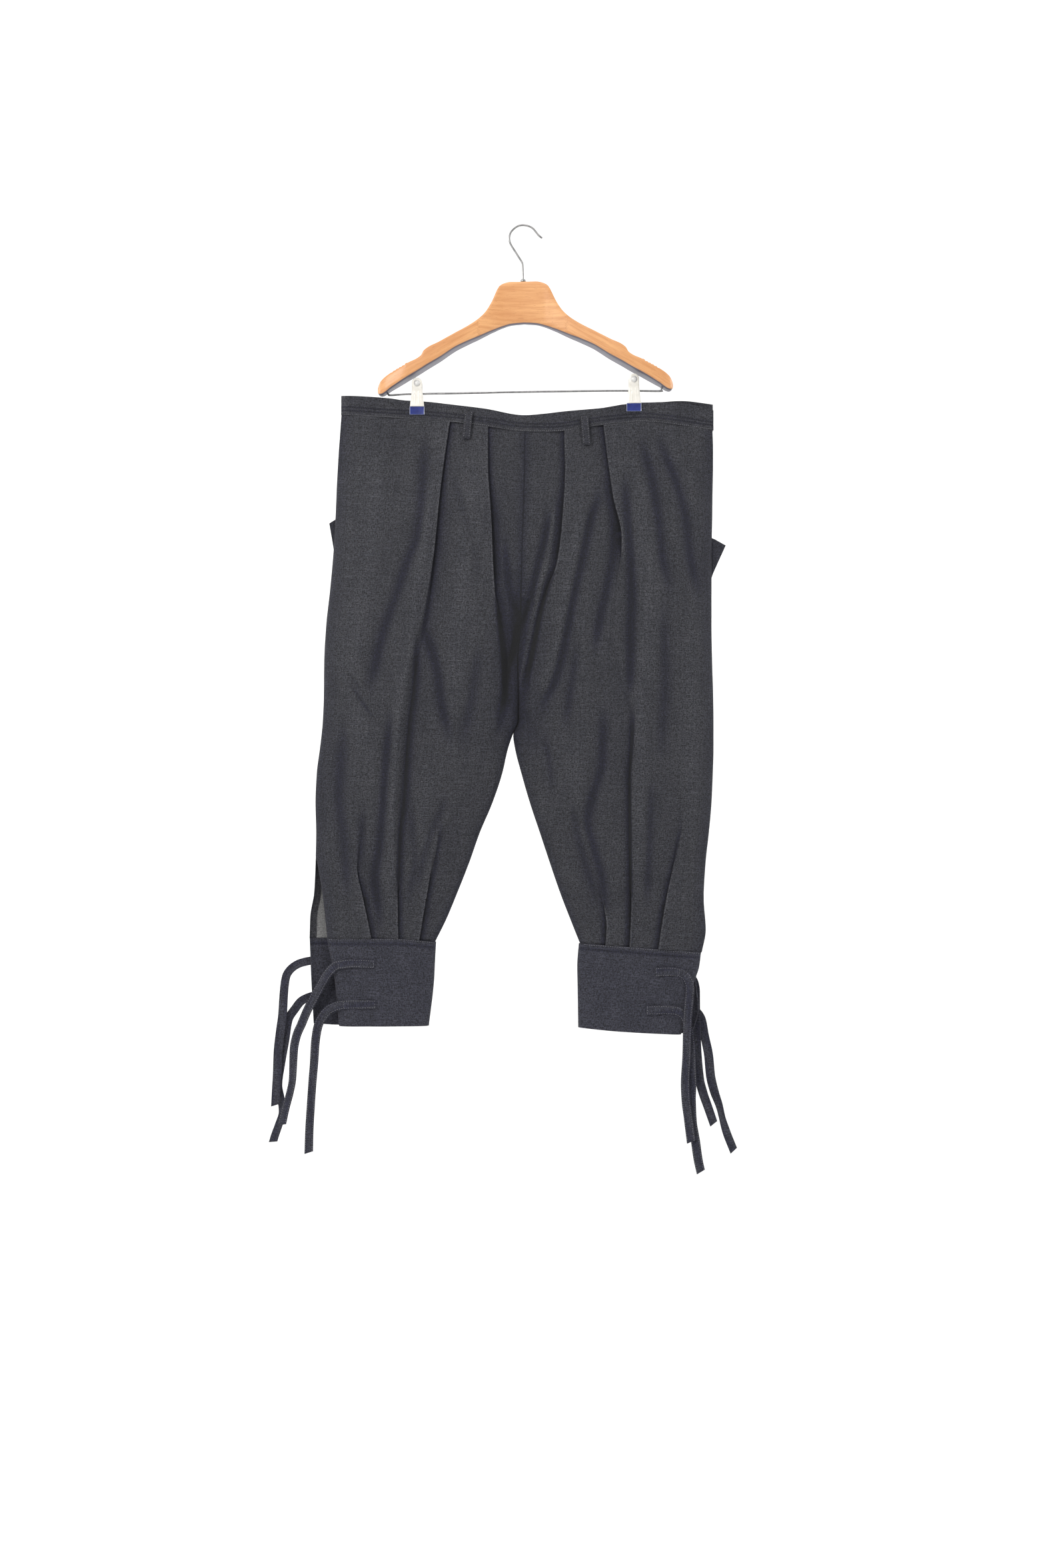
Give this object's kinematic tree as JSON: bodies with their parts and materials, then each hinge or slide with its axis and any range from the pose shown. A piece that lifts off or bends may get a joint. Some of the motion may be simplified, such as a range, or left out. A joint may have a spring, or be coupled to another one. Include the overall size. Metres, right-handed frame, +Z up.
{
  "type": "tapered trousers on a clip hanger",
  "caption": "Pleated, tapered dark denim trousers with tied open cuffs, hung by the waistband from a wooden clip hanger.",
  "frame": {"origin": "inside the crown of the hook, where a rail carries it", "axes": "+Z up, +X to the right of someone facing the front, front towards -Y"},
  "size_m": [0.7052, 0.0685, 1.4224],
  "materials": {
    "denim": "dark slub denim",
    "ties": "dark slub denim strip",
    "wood": "varnished",
    "wire": "bright wire",
    "cream": "cream enamel",
    "vinyl": "soft blue vinyl"
  },
  "bodies": {
    "root": {"front_left": "denim", "front_right": "denim", "back_left": "denim", "back_right": "denim", "waistband": "denim", "cuff_left": "denim", "cuff_right": "denim", "pocket_left": "denim", "pocket_right": "denim", "belt_loop_front_left": "denim", "belt_loop_front_right": "denim", "belt_loop_back_left": "denim", "belt_loop_back_right": "denim", "tie_left_back_upper": "ties", "tie_left_back_lower": "ties", "tie_left_front_upper": "ties", "tie_left_front_lower": "ties", "tie_right_front_upper": "ties", "tie_right_front_lower": "ties", "tie_right_back_upper": "ties", "tie_right_back_lower": "ties", "hanger_body": "wood", "hook": "wire", "ferrule": "wire", "bar": "wire", "spring_left": "wire", "spring_right": "wire", "clip_left_front": "cream", "clip_left_back": "cream", "clip_right_front": "cream", "clip_right_back": "cream", "rivet_left_front": "cream", "rivet_left_back": "cream", "rivet_right_front": "cream", "rivet_right_back": "cream", "pad_left_front": "vinyl", "pad_left_back": "vinyl", "pad_right_front": "vinyl", "pad_right_back": "vinyl"}
  },
  "joints": []
}
